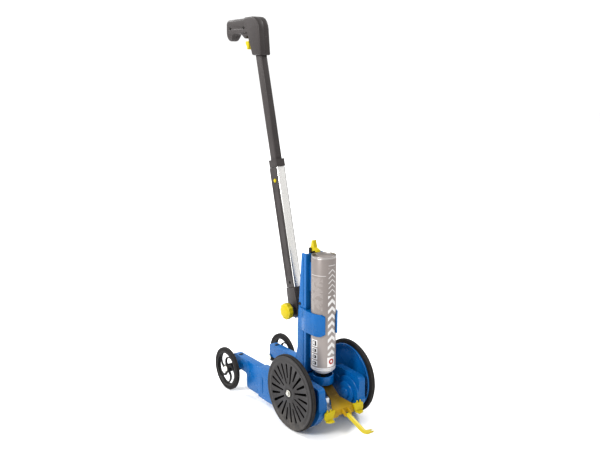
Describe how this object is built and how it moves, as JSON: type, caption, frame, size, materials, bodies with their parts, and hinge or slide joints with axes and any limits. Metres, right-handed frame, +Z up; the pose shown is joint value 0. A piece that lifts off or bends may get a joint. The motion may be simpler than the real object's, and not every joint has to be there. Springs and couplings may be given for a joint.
{
  "type": "line marking applicator",
  "caption": "Wheeled applicator that carries an upturned aerosol can over the ground and sprays a straight line; folding telescopic handle with a trigger grip.",
  "frame": {"origin": "on the ground under the middle of the bounding box", "axes": "+Z up, +X across the machine (the clamp knob is on the -X side), the pointer leads toward -Y and the handle leans toward +Y"},
  "size_m": [0.222, 0.6, 1.052],
  "materials": {
    "blue_plastic": "moulded, satin gloss",
    "yellow_plastic": "moulded, satin gloss",
    "dark_plastic": "fine-grained matt",
    "black_plastic": "matt",
    "tyre": "matt moulded tread",
    "aluminium": "brushed, anodised",
    "steel": "zinc plated",
    "can_print": "printed tinplate, satin",
    "can_white": "lacquered",
    "cable": "smooth sheath"
  },
  "bodies": {
    "chassis": {"chassis_frame": "blue_plastic", "side_shield_left": "blue_plastic", "side_shield_right": "blue_plastic", "rear_arm_left": "blue_plastic", "rear_arm_right": "blue_plastic", "axle_block_left": "black_plastic", "axle_block_right": "black_plastic", "rear_axle_left": "steel", "rear_axle_right": "steel", "stub_axle_left": "steel", "stub_axle_right": "steel", "wheel_bolt_left": "steel", "wheel_bolt_right": "steel", "upright": "blue_plastic", "can_clip": "blue_plastic", "nozzle_holder": "blue_plastic", "spray_nozzle": "black_plastic", "handle_bracket": "blue_plastic", "bracket_screw_left": "steel", "bracket_screw_right": "steel", "pivot_bolt": "steel", "spray_skirt": "yellow_plastic", "press_guide": "black_plastic"},
    "front_wheel_left": {"front_tyre_left": "tyre", "front_wheel_dish_left": "blue_plastic", "front_hub_cap_left": "dark_plastic"},
    "front_wheel_right": {"front_tyre_right": "tyre", "front_wheel_dish_right": "blue_plastic", "front_hub_cap_right": "dark_plastic"},
    "rear_wheel_left": {"rear_tyre_left": "tyre", "rear_rim_left": "dark_plastic"},
    "rear_wheel_right": {"rear_tyre_right": "tyre", "rear_rim_right": "dark_plastic"},
    "handle_lower": {"handle_fork": "dark_plastic", "lower_tube": "aluminium", "rail_left": "dark_plastic", "rail_right": "dark_plastic", "tube_collar": "dark_plastic"},
    "height_button": {"height_button": "yellow_plastic"},
    "handle_upper": {"upper_tube": "dark_plastic", "grip_shell_left": "dark_plastic", "grip_shell_right": "dark_plastic", "trigger_pin": "steel", "trigger_spring": "steel", "grip_screw_1": "steel", "grip_screw_2": "steel", "pull_cable": "cable"},
    "trigger": {"trigger": "yellow_plastic"},
    "clamp_knob": {"clamp_knob": "yellow_plastic"},
    "can": {"can_body": "can_print", "can_shoulder": "can_white", "valve_cup": "black_plastic"},
    "press": {"press_rod": "black_plastic", "press_spring": "steel"},
    "press_hook": {"press_hook": "yellow_plastic"},
    "width_guard_left": {"width_guard_left": "yellow_plastic"},
    "width_guard_right": {"width_guard_right": "yellow_plastic"},
    "pointer": {"pointer": "yellow_plastic", "pointer_rivet": "steel"}
  },
  "joints": [
    {"name": "front_wheel_left_spin", "type": "hinge", "parent": "chassis", "child": "front_wheel_left", "pos_m": [-0.095, -0.122, 0.1], "axis": [1, 0, 0], "continuous": true},
    {"name": "front_wheel_right_spin", "type": "hinge", "parent": "chassis", "child": "front_wheel_right", "pos_m": [0.095, -0.122, 0.1], "axis": [1, 0, 0], "continuous": true},
    {"name": "rear_wheel_left_spin", "type": "hinge", "parent": "chassis", "child": "rear_wheel_left", "pos_m": [-0.095, 0.194, 0.0615], "axis": [1, 0, 0], "continuous": true},
    {"name": "rear_wheel_right_spin", "type": "hinge", "parent": "chassis", "child": "rear_wheel_right", "pos_m": [0.095, 0.194, 0.0615], "axis": [1, 0, 0], "continuous": true},
    {"name": "handle_tilt", "type": "hinge", "parent": "chassis", "child": "handle_lower", "pos_m": [0, -0.02, 0.28], "axis": [-1, 0, 0], "range_deg": [-14, 62]},
    {"name": "handle_telescope", "type": "slide", "parent": "handle_lower", "child": "handle_upper", "axis": [0, 0.2425, 0.9701], "range_m": [-0.277, 0]},
    {"name": "height_button_press", "type": "slide", "parent": "handle_lower", "child": "height_button", "axis": [1, 0, 0], "range_m": [0, 0.0022], "stiffness_N_per_m": 800, "springref_m": -0.001},
    {"name": "clamp_knob_turn", "type": "hinge", "parent": "chassis", "child": "clamp_knob", "pos_m": [-0.035, -0.02, 0.28], "axis": [-1, 0, 0], "continuous": true},
    {"name": "can_feed", "type": "slide", "parent": "chassis", "child": "can", "axis": [0, 0, -1], "range_m": [0, 0.003], "stiffness_N_per_m": 5000, "springref_m": -0.003},
    {"name": "press_slide", "type": "slide", "parent": "chassis", "child": "press", "axis": [0, 0, -1], "range_m": [0, 0.003], "deforming": ["press_spring"]},
    {"name": "trigger_pull", "type": "hinge", "parent": "handle_upper", "child": "trigger", "pos_m": [0, 0.194, 1.01], "axis": [1, 0, 0], "range_deg": [0, 14]},
    {"name": "hook_fold", "type": "hinge", "parent": "press", "child": "press_hook", "pos_m": [0, -0.082, 0.458], "axis": [-1, 0, 0], "range_deg": [0, 75]},
    {"name": "width_guard_left_slide", "type": "slide", "parent": "chassis", "child": "width_guard_left", "axis": [-1, 0, 0], "range_m": [-0.007, 0.012]},
    {"name": "width_guard_right_slide", "type": "slide", "parent": "chassis", "child": "width_guard_right", "axis": [1, 0, 0], "range_m": [-0.007, 0.012]},
    {"name": "pointer_fold", "type": "hinge", "parent": "chassis", "child": "pointer", "pos_m": [0.006, -0.2255, 0.05], "axis": [-1, 0, 0], "range_deg": [0, 100]}
  ],
  "couplings": [
    {"joint": "press_slide", "follows": "can_feed", "ratio": 1},
    {"joint": "trigger_pull", "follows": "can_feed", "rad_per_m": 81.441}
  ]
}
